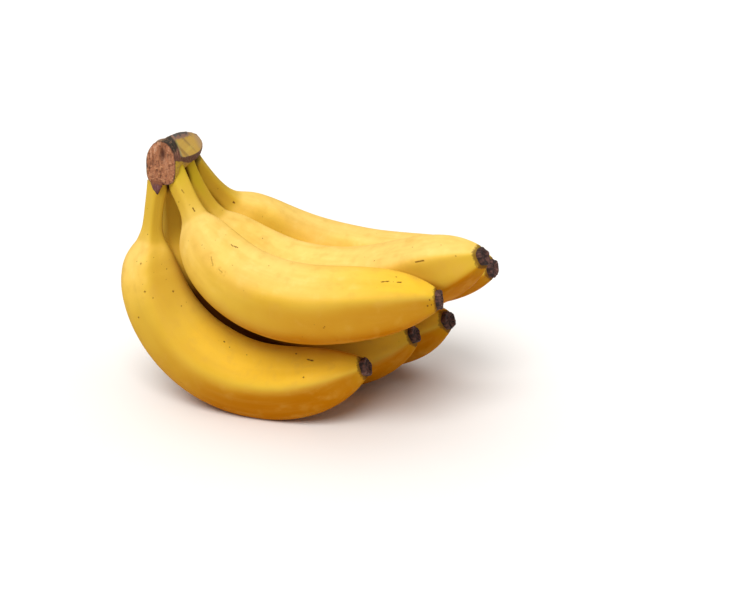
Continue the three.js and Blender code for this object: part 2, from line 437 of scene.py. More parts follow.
@dataclass(frozen=True)
class PeelFinish:
    """Ripe peel: yellow, greenish by the crown, with brown specks, a waxy sheen, and painted light and shade:
    paler and golder where it faces the light, deeper orange where it faces away, near black beside its
    neighbours.
    """

    side: np.ndarray = shade(215, 175, 60)
    # gold, crest and pale are painted light: paler, golder copies of the yellow where the skin faces
    # lit_from. under is painted shade where it faces away.
    painted_lit_gold: Coat = Coat((240, 188, 30), (0.1, 0.85))
    painted_highlight: Coat = Coat((246, 206, 112), (0.1, 0.85))
    furrow: Coat = Coat((204, 150, 20), (0.5, 0.72), 0.28)
    under: Coat = Coat((178, 108, 0), (0.38, -0.45))
    mottled: Coat = Coat((206, 158, 66), (0.5, 0.78), 0.3)
    pale: Coat = Coat((252, 224, 136), (0.5, 0.24), 0.35)
    neck: Coat = Coat((202, 164, 50), (14, -16), 0.45)
    collar_span: Span = (1.6, -1.6)
    collar: float = 0.3
    green_crown: Coat = Coat((196, 176, 24), (22, 6))
    green_tip: Coat = Coat((196, 176, 24), (7, 0), 0.14)
    fibre: Coat = Coat((206, 158, 66), (0.45, 0.75), 0.16)
    ridge_wear: Coat = Coat((206, 158, 66), (0.93, 1.0), 0.3)
    burnt: Coat = Coat((92, 58, 30), (1.1, 0.1), 0.7)
    speck: Coat = Coat((108, 66, 22), (0.0, 0.04), 0.6)
    speck_reach: float = 0.085
    mark: Coat = Coat((108, 66, 22), (0.05, 0.85))
    smudge: Coat = Coat((206, 158, 66), (0.35, 0.7))
    # deep: painted shade, laid by the crevice value up to deepest where neighbouring bananas come close
    deep: np.ndarray = shade(64, 18, 2)
    deepest: float = 0.95
    cloud_scale: float = 26
    mottle_scale: float = 150
    speck_scale: float = 150
    fine_scale: float = 900
    streak_stretch: Vector3 = (18, 260, 260)
    furrow_stretch: Vector3 = (9, 85, 85)
    rough: float = 0.44
    coat: float = 0.04
    coat_rough: float = 0.35
    density: float = 1.03
    # lit_from is the light that the painted light and shade face. The two clouds fray their edges, and
    # light_neck keeps part of the painted shade off the neck.
    lit_from: Vector3 = (-0.42, -0.14, 0.9)
    sunny_cloud: float = 0.5
    shaded_cloud: float = 0.4
    light_neck_span: Span = (8, -12)
    light_neck: float = 0.6
    neck_fray: float = 6
    crown_fray: float = 16
    tip_fray: float = 7
    burnt_fray: float = 2
    relief_height: float = 0.0003

    def material(self) -> bpy.types.Material:
        """Builds the peel from coordinates of the straightened banana.

        Returns:
            The material.
        """
        graph = Graph("ripe_peel")
        straight = graph.vector("straight")
        # pale: how much of the painted highlight each point of the banana keeps
        from_body, from_tip, pale = (graph.value(name) for name in ("from_body", "from_tip", "pale"))
        cloud = graph.noise(straight, self.cloud_scale, 3)
        streak = graph.noise(graph.stretch(straight, self.streak_stretch), 1, 3)
        furrows = graph.noise(graph.stretch(straight, self.furrow_stretch), 1, 2)
        mottle = graph.noise(straight, self.mottle_scale, 4)
        fine = graph.noise(straight, self.fine_scale, 4)
        # painted light and shade: how far each normal faces lit_from, frayed by cloud
        height = graph.facing(graph.node("ShaderNodeNewGeometry").outputs["Normal"], self.lit_from)
        raised, lowered = (height + (cloud - 0.5) * much for much in (self.sunny_cloud, self.shaded_cloud))
        not_neck = 1 - from_body.rise(*self.light_neck_span) * self.light_neck
        # painted light: gold, then the pale painted highlight, where the skin faces the light
        colour = graph.lay(self.painted_lit_gold, self.side, raised)
        colour = graph.lay(self.painted_highlight, colour, raised, pale)
        colour = graph.lay(self.furrow, colour, furrows)
        # painted shade: deeper orange where the skin faces away from the light, with less of it on the neck
        colour = graph.lay(self.under, colour, lowered, not_neck)
        colour = graph.lay(self.mottled, colour, mottle)
        # painted highlight: pale mottled patches where the skin faces the light
        colour = graph.lay(self.pale, colour, mottle, raised.rise(*self.painted_lit_gold.span), pale)
        clouded = from_body + (cloud - 0.5) * self.neck_fray
        neckness = clouded.rise(*self.neck.span) * self.neck.strength
        neckness = neckness + clouded.rise(*self.collar_span) * self.collar
        colour = graph.blend(neckness, colour, self.neck.colour)
        frayed = graph.value("from_crown") + (streak - 0.5) * self.crown_fray
        green = graph.value("green")
        colour = graph.lay(self.green_crown, colour, frayed, green)
        colour = graph.lay(self.fibre, colour, streak)
        colour = graph.lay(self.ridge_wear, colour, graph.value("ridge"), cloud.rise(0.42, 0.7))
        colour = graph.lay(self.green_tip, colour, from_tip + (streak - 0.5) * self.tip_fray)
        colour = graph.lay(self.burnt, colour, from_tip + (fine - 0.5) * self.burnt_fray)
        reach, pick = graph.spots(straight, self.speck_scale)
        colour = graph.lay(self.speck, colour, pick.rise(0.5, 1.0) * self.speck_reach - reach)
        marked = graph.value("mark") * (0.65 + fine * 0.7)
        colour = graph.lay(self.mark, colour, marked)
        colour = graph.lay(self.smudge, colour, fine, graph.value("smudge"))
        # painted shade: near black where neighbouring bananas come close
        colour = graph.blend(graph.value("crevice_shade") * self.deepest, colour, self.deep)
        mark, near_crown = marked.rise(*self.mark.span), frayed.rise(*self.green_crown.span) * green
        rough = self.rough + (fine - 0.5) * 0.1 + mark * 0.25 + near_crown * 0.08
        relief = fine * 0.3 + streak * 0.5 + mottle * 0.6 - mark * 0.35
        fixed = {"Coat Weight": self.coat, "Coat Roughness": self.coat_rough, "IOR": self.density}
        return graph.finish(colour, rough, graph.bump(relief, self.relief_height, 0.5), fixed)


@dataclass(frozen=True)
class StalkFinish:
    """Dried stalk: the crown's tints, broken up by fine fibres and pits."""

    dark: Coat = Coat((58, 30, 16), (0.5, 0.32), 0.5)
    pale: Coat = Coat((214, 158, 120), (0.52, 0.72), 0.3)
    rough: float = 0.78
    grit_scale: float = 1400
    fibre_stretch: Vector3 = (900, 900, 220)

    def material(self) -> bpy.types.Material:
        """Builds the stalk from the tints that the crown's mesh carries.

        Returns:
            The material.
        """
        graph = Graph("dried_stalk")
        place = graph.place()
        fresh = graph.value("fresh")
        grit = graph.noise(place, self.grit_scale, 4)
        fibre = graph.noise(graph.stretch(place, self.fibre_stretch), 1, 4)
        colour = graph.lay(self.dark, graph.vector("tint"), grit, 1 - fresh * 0.85)
        colour = graph.lay(self.pale, colour, fibre, 1 - fresh)
        rough = self.rough - fresh * 0.28 + (grit - 0.5) * 0.12
        relief = grit * 0.6 + fibre * 0.5
        return graph.finish(colour, rough, graph.bump(relief, 0.0005, 0.7), {})


@dataclass(frozen=True)
class CrownTones:
    """The crown's colours: its peel, dry band and top, the ochre facet, the brown cut face, the tongue."""

    peel: np.ndarray = shade(196, 162, 40)
    dry_peel: Coat = Coat((168, 130, 56), (0.0, 0.7))
    top: Coat = Coat((146, 108, 82), (0.45, 0.85), 0.9)
    top_grey: Coat = Coat((112, 100, 84), (0.0, 0.6))
    band: Coat = Coat((98, 56, 38), (-0.3, 0.3))
    band_worn: Coat = Coat((126, 82, 76), (-0.1, 0.5), 0.7)
    ochre: np.ndarray = shade(212, 170, 66)
    ochre_streak: Coat = Coat((152, 108, 42), (-0.1, 0.75), 0.75)
    ochre_pale: Coat = Coat((224, 196, 84), (0.1, 0.7), 0.5)
    ochre_front: Coat = Coat((150, 146, 78), (-21.6, -23.4), 0.8)
    ochre_back: Coat = Coat((190, 152, 104), (-2, 5))
    ridge: Coat = Coat((150, 108, 88), (0.6, 0.74))
    ridge_grey: Coat = Coat((88, 80, 72), (0.82, 0.95))
    strip: Coat = Coat((44, 36, 22), (0.35, 0.6))
    brown: np.ndarray = shade(166, 106, 70)
    strand_dark: Coat = Coat((112, 62, 34), (0.0, -0.7))
    strand_pale: Coat = Coat((210, 156, 122), (0.15, 0.6))
    crumb_pale: Coat = Coat((196, 138, 96), (0.15, 0.6))
    crumb_dark: Coat = Coat((76, 40, 24), (-0.25, -0.75), 0.8)
    hollow: np.ndarray = shade(84, 40, 16)
    rim: Coat = Coat((60, 32, 22), (0.9, 0.1))
    tongue: np.ndarray = shade(104, 58, 60)
    tongue_pale: Coat = Coat((128, 82, 84), (0.1, 0.6))
    tongue_tip: Coat = Coat((62, 26, 22), (0.4, 0.9))
    tongue_root: Coat = Coat((128, 74, 46), (0.25, 0.0))


@dataclass(frozen=True)
class FlowerFinish:
    """Dried flower rest: near black, purple-brown, with grey mottling on what stands out."""

    deep: np.ndarray = shade(38, 20, 16)
    husk: Coat = Coat((96, 60, 50), (-0.2, 0.9))
    grey: Coat = Coat((150, 120, 112), (0.75, 1.15), 0.6)
    rough: float = 0.85
    grit_scale: float = 1100

    def material(self) -> bpy.types.Material:
        """Builds the husk from the relief that the mesh carries.

        Returns:
            The material.
        """
        graph = Graph("dried_flower_end")
        relief = graph.value("relief")
        grit = graph.noise(graph.place(), self.grit_scale, 4)
        colour = graph.lay(self.husk, self.deep, relief + grit * 0.6)
        colour = graph.lay(self.grey, colour, relief * 0.6 + grit)
        return graph.finish(colour, self.rough, graph.bump(grit, 0.0006, 0.8), {})


class Mark(Enum):
    """What a blemish on the peel is."""

    SPECK = (0.34, 0.8, "mark")
    FAINT = (0.34, 0.5, "mark")
    SPOT = (0.48, 0.88, "mark")
    SCRATCH = (0.36, 0.8, "mark")
    SMUDGE = (1.5, 0.5, "smudge")

    def __init__(self, width: float, strength: float, layer: str) -> None:
        """Keeps its half width in millimetres, its strength and the value that it adds to."""
        self.width = width
        self.strength = strength
        self.layer = layer


@dataclass(frozen=True)
class Blemish:
    """A speck or a scratch, placed where a viewer of the photograph sees it.

    Attributes:
        mark: What it is.
        start: Pixel of the photograph where it starts.
        stop: Pixel where it ends, or None for a round one.
    """

    mark: Mark
    start: Pixel
    stop: Pixel | None = None


@dataclass(frozen=True)
class PhotoCamera:
    """The photograph's camera, in millimetres, and the pixels that it gives to places."""

    azimuth: float = 25
    elevation: float = 22
    distance: float = 1000
    aim: Vector3 = (2.3, -9.7, 55)
    aim_pixel: Pixel = (318, 300)
    lens: float = 98
    sensor: float = 36

    def axes(self) -> tuple[np.ndarray, np.ndarray, np.ndarray]:
        """The directions to the right, up and back towards the viewer."""
        turn, tilt = math.radians(self.azimuth), math.radians(self.elevation)
        right = np.array([math.cos(turn), math.sin(turn), 0])
        back = np.array([math.sin(turn) * math.cos(tilt), -math.cos(turn) * math.cos(tilt), math.sin(tilt)])
        return right, np.cross(back, right), back

    def pixels(self, points: np.ndarray) -> np.ndarray:
        """Where places appear: offset from the aim point over depth, times the focal length in pixels.

        Args:
            points: Places in millimetres, as an array whose last axis holds x, y and z.

        Returns:
            Pixels, as an array whose last axis holds x and y.
        """
        right, up, back = self.axes()
        offset = points - np.array(self.aim)
        zoom = self.lens / self.sensor * PHOTO_WIDTH / (self.distance - offset @ back)
        x, y = self.aim_pixel
        return np.stack([x + zoom * (offset @ right), y - zoom * (offset @ up)], -1)

    def place(self) -> None:
        """Puts the scene's camera there, shifted so that the aim point lands on its pixel."""
        right, up, back = self.axes()
        data = bpy.data.cameras.new("camera")
        data.lens = self.lens
        data.sensor_width = self.sensor
        data.shift_x = (PHOTO_WIDTH / 2 - self.aim_pixel[0]) / PHOTO_WIDTH
        data.shift_y = (self.aim_pixel[1] - PHOTO_HEIGHT / 2) / PHOTO_WIDTH
        data.clip_start = 0.01
        camera = add_object("camera", data)
        spot = (np.array(self.aim) + back * self.distance) * MILLIMETRE
        camera.matrix_world = Matrix.Translation(spot.tolist()) @ facing_matrix(right, up, back)
        bpy.context.scene.camera = camera


@dataclass(frozen=True)
class Line:
    """A banana's centre line with the frame and the radius at each of its places."""

    points: np.ndarray
    tangents: np.ndarray
    across: np.ndarray
    upward: np.ndarray
    radii: np.ndarray

    def thinned(self, every: int) -> "Line":
        """The same line with only every so many of its places."""
        parts = (self.points, self.tangents, self.across, self.upward, self.radii)
        return Line(*(part[::every] for part in parts))

    def clearance(self, places: np.ndarray) -> np.ndarray:
        """How far places are outside the round girth: the least of distance less radius along the line.

        Args:
            places: Places in millimetres, one a row.

        Returns:
            One distance for each place, negative inside.
        """
        squares = (places**2).sum(1)[:, None] + (self.points**2).sum(1)[None, :] - 2 * places @ self.points.T
        return (np.sqrt(np.maximum(squares, 0)) - self.radii[None, :]).min(axis=1)


@dataclass
class Banana:
    """One banana: its centre line as in the frame, its girth, its five soft ridges and its blemishes.

    Attributes:
        green: How green the neck is by the crown.
        painted_highlight_span: Millimetres along it over which the pale painted highlight on its top fades to
            the deeper yellow of its lit side.
        open_sky: How much a skin that faces up is spared the painted shade laid beside its neighbours.
        tucked_behind: The banana in front of this one, in whose gap this one gets dark painted shade, if
            there is one.
    """

    name: str
    root: Vector3
    heading: float
    sweep: float
    lean: float
    slope: Span
    bend: Span
    length: float
    neck: float
    neck_radius: float
    drop: float
    roll: float
    seed: int
    green: float = 0
    painted_highlight_span: Span = (180, 240)
    painted_highlight_loss: float = 0.85
    open_sky: float = 0.7
    tucked_behind: str = ""
    stations: int = 240
    sides: int = 120
    blemishes: list[Blemish] = field(default_factory=list)
    body_radius: float = 19.4
    end_radius: float = 5.4
    shoulder_length: float = 9
    shoulder_softness: float = 3
    end_taper: float = 19
    neck_flare: float = 0.2
    flare_length: float = 8
    waist: float = 0.13
    waist_span: Span = (45, 105)
    waist_start: Span = (-5, 15)
    face_power: float = 5
    neck_face_power: float = 7.5
    end_face_power: float = 9
    angular_reach: float = 45
    touch_gap: float = 0.3
    press_soften: float = 1.2
    # crevice_reach to tuck_start: how the painted shade beside neighbours is laid
    crevice_reach: float = 5
    crevice_span: Span = (0.82, 1.25)
    sky_span: Span = (-0.1, 0.5)
    tuck_span: Span = (9, 4.5)
    tuck_start: Span = (8, 30)
    grazing: float = 0.05
    fray: float = 0.45
    fray_pitch: float = 0.7
    swell: float = 0.22
    swell_pitch: float = 24
    fibre: float = 0.1
    fibre_pitch: Vector3 = (30, 2.2, 2.2)
    fibre_span: Span = (55, 8)
    crease: float = 0.35
    crease_width: float = 2.2
    crease_wander: float = 1.5
    crease_pitch: Vector3 = (20, 8, 8)
    seed_shift: Vector3 = (0, 400, 0)
    steps: int = 360
    thinning: int = 3
    halvings: int = 12

    def shoulder(self, along: np.ndarray) -> np.ndarray:
        """How far the shoulder has come, from 0 on the neck to 1 on the body, with a soft start."""
        past = self.shoulder_softness * np.logaddexp(0, (along - self.neck) / self.shoulder_softness)
        return 1 - np.exp(-past / self.shoulder_length)

    def girth(self, along: np.ndarray) -> np.ndarray:
        """Radius along the banana: a neck that flares at the crown, a soft shoulder, a body, a blunt end."""
        start = mix((self.neck_radius / self.body_radius, 1), self.shoulder(along))
        end = 1 - (1 - self.end_radius / self.body_radius) * np.exp(-(self.length - along) / self.end_taper)
        slimmer = (1 - ramp(self.waist_span, along)) * ramp(self.waist_start, along - self.neck)
        flare = 1 + self.neck_flare * np.exp(-along / self.flare_length)
        return self.body_radius * start * end * (1 - self.waist * slimmer) * flare

    def centre_line(self) -> Line:
        """Adds up small steps along a direction whose slope and heading turn smoothly, as in the frame.

        Returns:
            The centre line, hung by the drop outside the line of the neck.
        """
        along = np.linspace(0, self.length, self.steps + 1)
        slope = np.radians(mix(self.slope, ramp(self.bend, along)))[:, None]
        heading = np.radians(self.heading + self.sweep * ramp((0, self.length), along))
        lean = math.radians(self.lean)
        forward = np.stack([np.cos(heading), np.sin(heading), np.zeros_like(heading)], axis=1)
        left = np.stack([-np.sin(heading), np.cos(heading), np.zeros_like(heading)], axis=1)
        tangents = forward * np.cos(slope) + (left * math.sin(lean) + UP * math.cos(lean)) * np.sin(slope)
        steps = (tangents[1:] + tangents[:-1]) / 2 * (self.length / self.steps)
        points = np.array(self.root) + np.concatenate([np.zeros((1, 3)), np.cumsum(steps, axis=0)])
        across = left * math.cos(lean) - UP * math.sin(lean)
        across = unit(across - tangents * (across * tangents).sum(axis=1, keepdims=True))
        upward = np.cross(tangents, across)
        hang = self.drop * self.shoulder(along)
        return Line(points - upward * hang[:, None], tangents, across, upward, self.girth(along))

    def pentagon(self, angle: np.ndarray, power: np.ndarray) -> np.ndarray:
        """Five-sided section with round corners.

        Args:
            angle: Angle from the first corner.
            power: How sharp the corners are.

        Returns:
            (sum of max(0, cos(angle - k 72 degrees)) ** power) ** (-1 / power), for k from 0 to 4.
        """
        total = sum(np.maximum(np.cos(angle - k * 2 * math.pi / 5), 0) ** power for k in range(5))
        return total ** (-1 / power)

    def pressed(self, line: Line, own: Line, others: list[Line], outward_rays: np.ndarray,
                reach: np.ndarray) -> np.ndarray:
        """Pulls the skin back where a neighbour presses on it, to the surface midway between the two.

        Args:
            line: This banana's centre line, one place a ring.
            own: The same centre line, thinned.
            others: The centre lines of the others, thinned.
            outward_rays: Unit rays from the centre line, as rings x sides x 3.
            reach: The skin's free distance along its rays.

        Returns:
            The distance at which clearance to the neighbour less own clearance is twice the touch gap,
            found by halving, and joined to the free distance by a smooth least.
        """
        centres = np.broadcast_to(line.points[:, None, :], outward_rays.shape).reshape(-1, 3)
        rays = outward_rays.reshape(-1, 3)
        free = reach.ravel()
        result = free.copy()
        for other in others:
            tops = centres + rays * free[:, None]
            near = np.flatnonzero(other.clearance(tops) < free)
            inside, outside = np.zeros(len(near)), free[near] + self.press_soften * 2
            for _ in range(self.halvings):
                middle = (inside + outside) / 2
                places = centres[near] + rays[near] * middle[:, None]
                fits = other.clearance(places) - own.clearance(places) >= 2 * self.touch_gap
                inside, outside = np.where(fits, middle, inside), np.where(fits, outside, middle)
            share = np.clip(0.5 + 0.5 * (inside - result[near]) / self.press_soften, 0, 1)
            least = inside + (result[near] - inside) * share - self.press_soften * share * (1 - share)
            result[near] = least
        return result.reshape(reach.shape)

    def place_blemishes(self, rings: np.ndarray, camera: PhotoCamera, grain: Grain) -> dict[str, np.ndarray]:
        """Turns each blemish into a mask round the stretch of skin that its pixels show.

        Args:
            rings: The skin's points.
            camera: The photograph's camera.
            grain: Random values that fray the edges.

        Returns:
            The values mark and smudge at each point, from 0 to 1.
        """
        pixels = camera.pixels(rings)
        hidden = (outward(rings) @ camera.axes()[2]) < self.grazing
        layers = {"mark": np.zeros(rings.shape[:2]), "smudge": np.zeros(rings.shape[:2])}
        fray = 1 + self.fray * grain.at(rings, self.fray_pitch)

        def seen_at(pixel: Pixel) -> np.ndarray:
            """The point of the skin that the pixel shows."""
            miss = np.linalg.norm(pixels - pixel, axis=-1) + hidden * PHOTO_WIDTH
            return rings.reshape(-1, 3)[miss.argmin()]

        for blemish in self.blemishes:
            start = seen_at(blemish.start)
            stretch = seen_at(blemish.stop) - start if blemish.stop else np.zeros(3)
            share = ((rings - start) @ stretch) / max(stretch @ stretch, 1e-9)
            nearest = start + np.clip(share, 0, 1)[..., None] * stretch
            distance = np.linalg.norm(rings - nearest, axis=-1) / fray
            mark = blemish.mark
            mask = mark.strength * ramp((1.5 * mark.width, 0.5 * mark.width), distance)
            layer = layers[mark.layer]
            np.maximum(layer, mask, out=layer)
        return layers

    def skin(self, lines: dict[str, Line], camera: PhotoCamera) -> Skin:
        """The peel: girth times pentagon round the centre line, with small swells, pressed by its neighbours.

        Args:
            lines: The centre lines of all the bananas by name.
            camera: The photograph's camera, for the blemishes.

        Returns:
            The closed skin with its values.
        """
        whole = lines[self.name]
        pick = np.linspace(0, self.steps, self.stations)
        row = [np.stack([np.interp(pick, np.arange(self.steps + 1), axis) for axis in grid.T], axis=1)
               for grid in (whole.points, whole.tangents, whole.across, whole.upward)]
        along = pick / self.steps * self.length
        line = Line(*row, self.girth(along))
        angle = np.arange(self.sides) * 2 * math.pi / self.sides
        c, s = np.cos(angle)[:, None], np.sin(angle)[:, None]
        rays = line.across[:, None] * c + line.upward[:, None] * s
        from_tip = self.length - along
        by_crown, by_tip = (np.exp(-(end / self.angular_reach) ** 2) for end in (along, from_tip))
        power = self.face_power + (self.neck_face_power - self.face_power) * by_crown
        power += (self.end_face_power - self.face_power) * by_tip
        section = self.pentagon(angle[None, :] - math.radians(self.roll), power[:, None])
        section /= section.mean(axis=1, keepdims=True)
        radius = np.broadcast_to(line.radii[:, None], section.shape)
        straight = np.stack([np.broadcast_to(along[:, None], section.shape),
                             radius * np.cos(angle), radius * np.sin(angle)], axis=-1)
        grain = Grain(self.seed)
        swells = self.swell * grain.layered(straight, self.swell_pitch, 3)
        fibres = self.fibre * grain.layered(straight, self.fibre_pitch, 2)
        fibres *= ramp(self.fibre_span, straight[..., 0])
        past_fold = straight[..., 0] - self.neck - self.crease_wander * grain.at(straight, 9)
        fold = np.exp(-(past_fold / self.crease_width) ** 2)
        creases = self.crease * fold * ramp((-0.5, 0.6), grain.at(straight, self.crease_pitch))
        reach = radius * section + swells + fibres - creases
        others = [other.thinned(self.thinning) for name, other in lines.items() if name != self.name]
        reach = self.pressed(line, whole.thinned(self.thinning), others, rays, reach)
        rings = line.points[:, None] + rays * reach[..., None]
        rings[..., 2] = np.maximum(rings[..., 2], 0)
        ridge = section / section.max(axis=1, keepdims=True)
        places = rings.reshape(-1, 3)
        # painted shade: darker the closer the neighbours, less where the skin faces up, and dark in the gap
        # behind the banana in front
        closeness = sum(np.exp(-other.clearance(places) / self.crevice_reach) for other in others)
        crevice_shade = ramp(self.crevice_span, closeness).reshape(ridge.shape)
        crevice_shade *= 1 - self.open_sky * ramp(self.sky_span, outward(rings)[..., 2])
        if self.tucked_behind:
            gap = lines[self.tucked_behind].clearance(places).reshape(ridge.shape)
            past_neck = ramp(self.tuck_start, straight[..., 0] - self.neck)
            crevice_shade = np.maximum(crevice_shade, ramp(self.tuck_span, gap) * past_neck)
        values = {
            "crevice_shade": crevice_shade,
            "straight": (straight + self.seed * np.array(self.seed_shift)) * MILLIMETRE,
            "from_crown": straight[..., 0],
            "from_tip": self.length - straight[..., 0],
            "from_body": straight[..., 0] - self.neck,
            "green": np.full(ridge.shape, self.green),
            # painted highlight: how much of the pale lit top each point keeps, less towards the far end
            "pale": 1 - self.painted_highlight_loss * ramp(self.painted_highlight_span, straight[..., 0]),
            "ridge": ridge,
            **self.place_blemishes(rings, camera, grain),
        }
        return Skin(rings, values)


@dataclass
class FlowerEnd:
    """The dried rest of the flower on a banana's end: a low stub with a raised rim round a pit."""

    radius: float = 4.5
    length: float = 2.6
    sunk: float = 1.2
    rings: int = 44
    sides: int = 72
    lobe: float = 0.05
    rough: float = 0.32
    fold_pitch: float = 1.6

    def skin(self, line: Line, stretch: Span, seed: int) -> Skin:
        """A profile of rise and size, carried round the banana's end, with lobes and dry folds.

        Args:
            line: The banana's centre line.
            stretch: Factors on the stub's radius across and upward.
            seed: Seed of its folds.

        Returns:
            The closed skin with its relief.
        """
        path = np.linspace(0, 1, self.rings)
        stops = [0, 0.2, 0.42, 0.56, 0.66, 0.8, 1]
        rise = np.interp(path, stops, [-self.sunk, 0.1, 0.75 * self.length, self.length, self.length,
                                       0.7 * self.length, 0.62 * self.length])
        size = np.interp(path, stops, [0.92, 0.98, 1, 0.9, 0.76, 0.5, 0.06])
        angle = np.arange(self.sides) * 2 * math.pi / self.sides
        flat = np.stack([np.cos(angle) * stretch[0], np.sin(angle) * stretch[1]], axis=-1)
        lobes = 1 + self.lobe * np.cos(5 * angle)
        out = (self.radius * size[:, None] * lobes)[..., None] * flat
        rings = line.points[-1] + rise[:, None, None] * line.tangents[-1] + out[..., :1] * line.across[-1]
        rings = rings + out[..., 1:] * line.upward[-1]
        grain = Grain(seed)
        folds = grain.layered(rings, self.fold_pitch, 3)
        streaks = grain.at(np.stack([angle * 2.2, angle * 0, angle * 0], -1), 0.35)[None, :]
        relief = folds * 0.8 + streaks * 0.5
        fade = ramp((0, 0.2), path) * ramp((1, 0.9), path)
        rings = rings + outward(rings) * (self.rough * relief * fade[:, None])[..., None]
        return Skin(rings, {"relief": relief})


@dataclass
class Crown:
    """The stalk that carries the necks: a brown cut face, a trimmed facet, dry rims, a hanging tongue."""

    middle_y: float = -15.75
    half_length: float = 24.75
    end_power: float = 4
    top_power: float = 2
    under_power: float = 4
    centre_x: Span = (-71.8, -76)
    centre_z: Span = (122.1, 115.6)
    half_width: Span = (7.4, 6.6)
    half_height: Span = (11.4, 5.8)
    slant: float = 0.6
    slant_span: Span = (-27.7, -24.2)
    under_tilt: float = 0.9
    fall_span: Span = (-31.1, 15.3)
    fall_power: float = 2.2
    swell: float = 2.2
    swell_span: Span = (-31.1, -19.1)
    swell_height: Span = (0.6, -0.2)
    cut_normal: Vector3 = (0.25, -0.97, 0.05)
    cut_point: Vector3 = (-79, -33.6, 122)
    trim_normal: Vector3 = (0.86, 0.16, 0.48)
    trim_point: Vector3 = (-64.5, -18.7, 121.8)
    trim_span: Span = (-26.7, -19.7)
    rings: int = 240
    sides: int = 200
    hollow: Vector3 = (8.2, 4.4, 1.6)
    hollow_size: Span = (1.4, 3.4)
    face_span: Span = (-0.2, 0.25)
    facet_span: Span = (0.02, 0.3)
    rim_span: Span = (0, 0.9)
    face_sunk: float = 0.25
    facet_sunk: float = 0.1
    strand_pitch: Vector3 = (0.9, 3.4, 1)
    strand_height: float = 0.34
    crumb_pitch: float = 0.9
    crumb_height: float = 0.42
    crumbly_span: Span = (2.5, -3.5)
    dry_pitch: Vector3 = (1.3, 3.6, 1.6)
    dry_height: float = 0.32
    wrinkle_pitch: Vector3 = (5, 0.9, 5)
    wrinkle_height: float = 0.14
    scrape_pitch: Vector3 = (3.4, 8, 1)
    scrape_height: float = 0.12
    lip_span: Span = (0.6, 0.8)
    lip_reach: Span = (0, -8)
    lip_height: float = 0.5
    side_span: Span = (-0.25, 0.25)
    low_span: Span = (0.15, -0.35)
    ridge_reach: Span = (2, -5)
    strip_span: Span = (-21.5, -23.5)
    band_corner: Span = (-22.7, 121.1)
    band_fall: float = 0.33
    tongue_root: Vector3 = (-73.7, -32.7, 112.6)
    tongue_hang: Vector3 = (-0.9, 0.6, -8.2)
    tongue_width: Span = (3.6, 0.12)
    tongue_thick: Span = (1.3, 0.1)
    tongue_pitch: Vector3 = (0.8, 0.8, 3)
    tongue_rough: float = 0.22
    tongue_rings: int = 60
    tongue_sides: int = 48
    tones: CrownTones = CrownTones()
    seed: int = 31

    def body(self) -> Skin:
        """Rings of a rounded box along Y, sunk at the back, pushed onto the cut plane and the trim plane.

        Returns:
            The crown's skin with its tints.
        """
        v = -np.cos(math.pi * (np.arange(self.rings) + 0.5) / self.rings)[:, None]
        y = self.middle_y + self.half_length * v
        shrink = (1 - np.abs(v) ** self.end_power) ** (1 / self.end_power)
        past = (y - self.fall_span[0]) / (self.fall_span[1] - self.fall_span[0])
        fall = np.maximum(past, 0) ** self.fall_power
        angle = -np.arange(self.sides) * 2 * math.pi / self.sides
        c, s = np.cos(angle)[None, :], np.sin(angle)[None, :]
        power = np.where(s > 0, self.top_power, self.under_power)
        round_off = (np.abs(c) ** power + np.abs(s) ** power) ** (-1 / power) * shrink
        bulge = np.where(c < 0, self.swell * ramp(self.swell_span, y) * ramp(self.swell_height, s), 0)
        dx = (mix(self.half_width, fall) + bulge) * round_off * c
        dz = mix(self.half_height, fall) * round_off * s
        tilt = self.slant * ramp(self.slant_span, y) * (1 + self.under_tilt * np.maximum(-s, 0))
        z = mix(self.centre_z, fall) + dz + tilt * dx
        points = np.stack([mix(self.centre_x, fall) + dx, np.broadcast_to(y, dx.shape), z], axis=-1)
        cut, trim = unit(np.array(self.cut_normal)), unit(np.array(self.trim_normal))
        cut_depth = np.maximum((points - self.cut_point) @ cut, 0)
        points = points - cut_depth[..., None] * cut
        trim_depth = np.maximum((points - self.trim_point) @ trim, 0) * ramp(self.trim_span, y)
        points = points - trim_depth[..., None] * trim
        return self.dress(points, cut_depth, trim_depth, s, c)

    def band_foot(self, y: np.ndarray) -> np.ndarray:
        """Height of the dry band's lower edge on the right side, which falls evenly towards the back."""
        return self.band_corner[1] - self.band_fall * (y - self.band_corner[0])

    def rim_distance(self, points: np.ndarray, depth: np.ndarray) -> np.ndarray:
        """Distance of each point from the cut face's rim in its own column, positive on the face."""
        rim_ring = np.argmax(depth <= 0, axis=0)
        rim = points[rim_ring, np.arange(points.shape[1])]
        distance = np.linalg.norm(points - rim[None], axis=-1)
        return np.where(np.arange(len(points))[:, None] < rim_ring[None, :], distance, -distance)

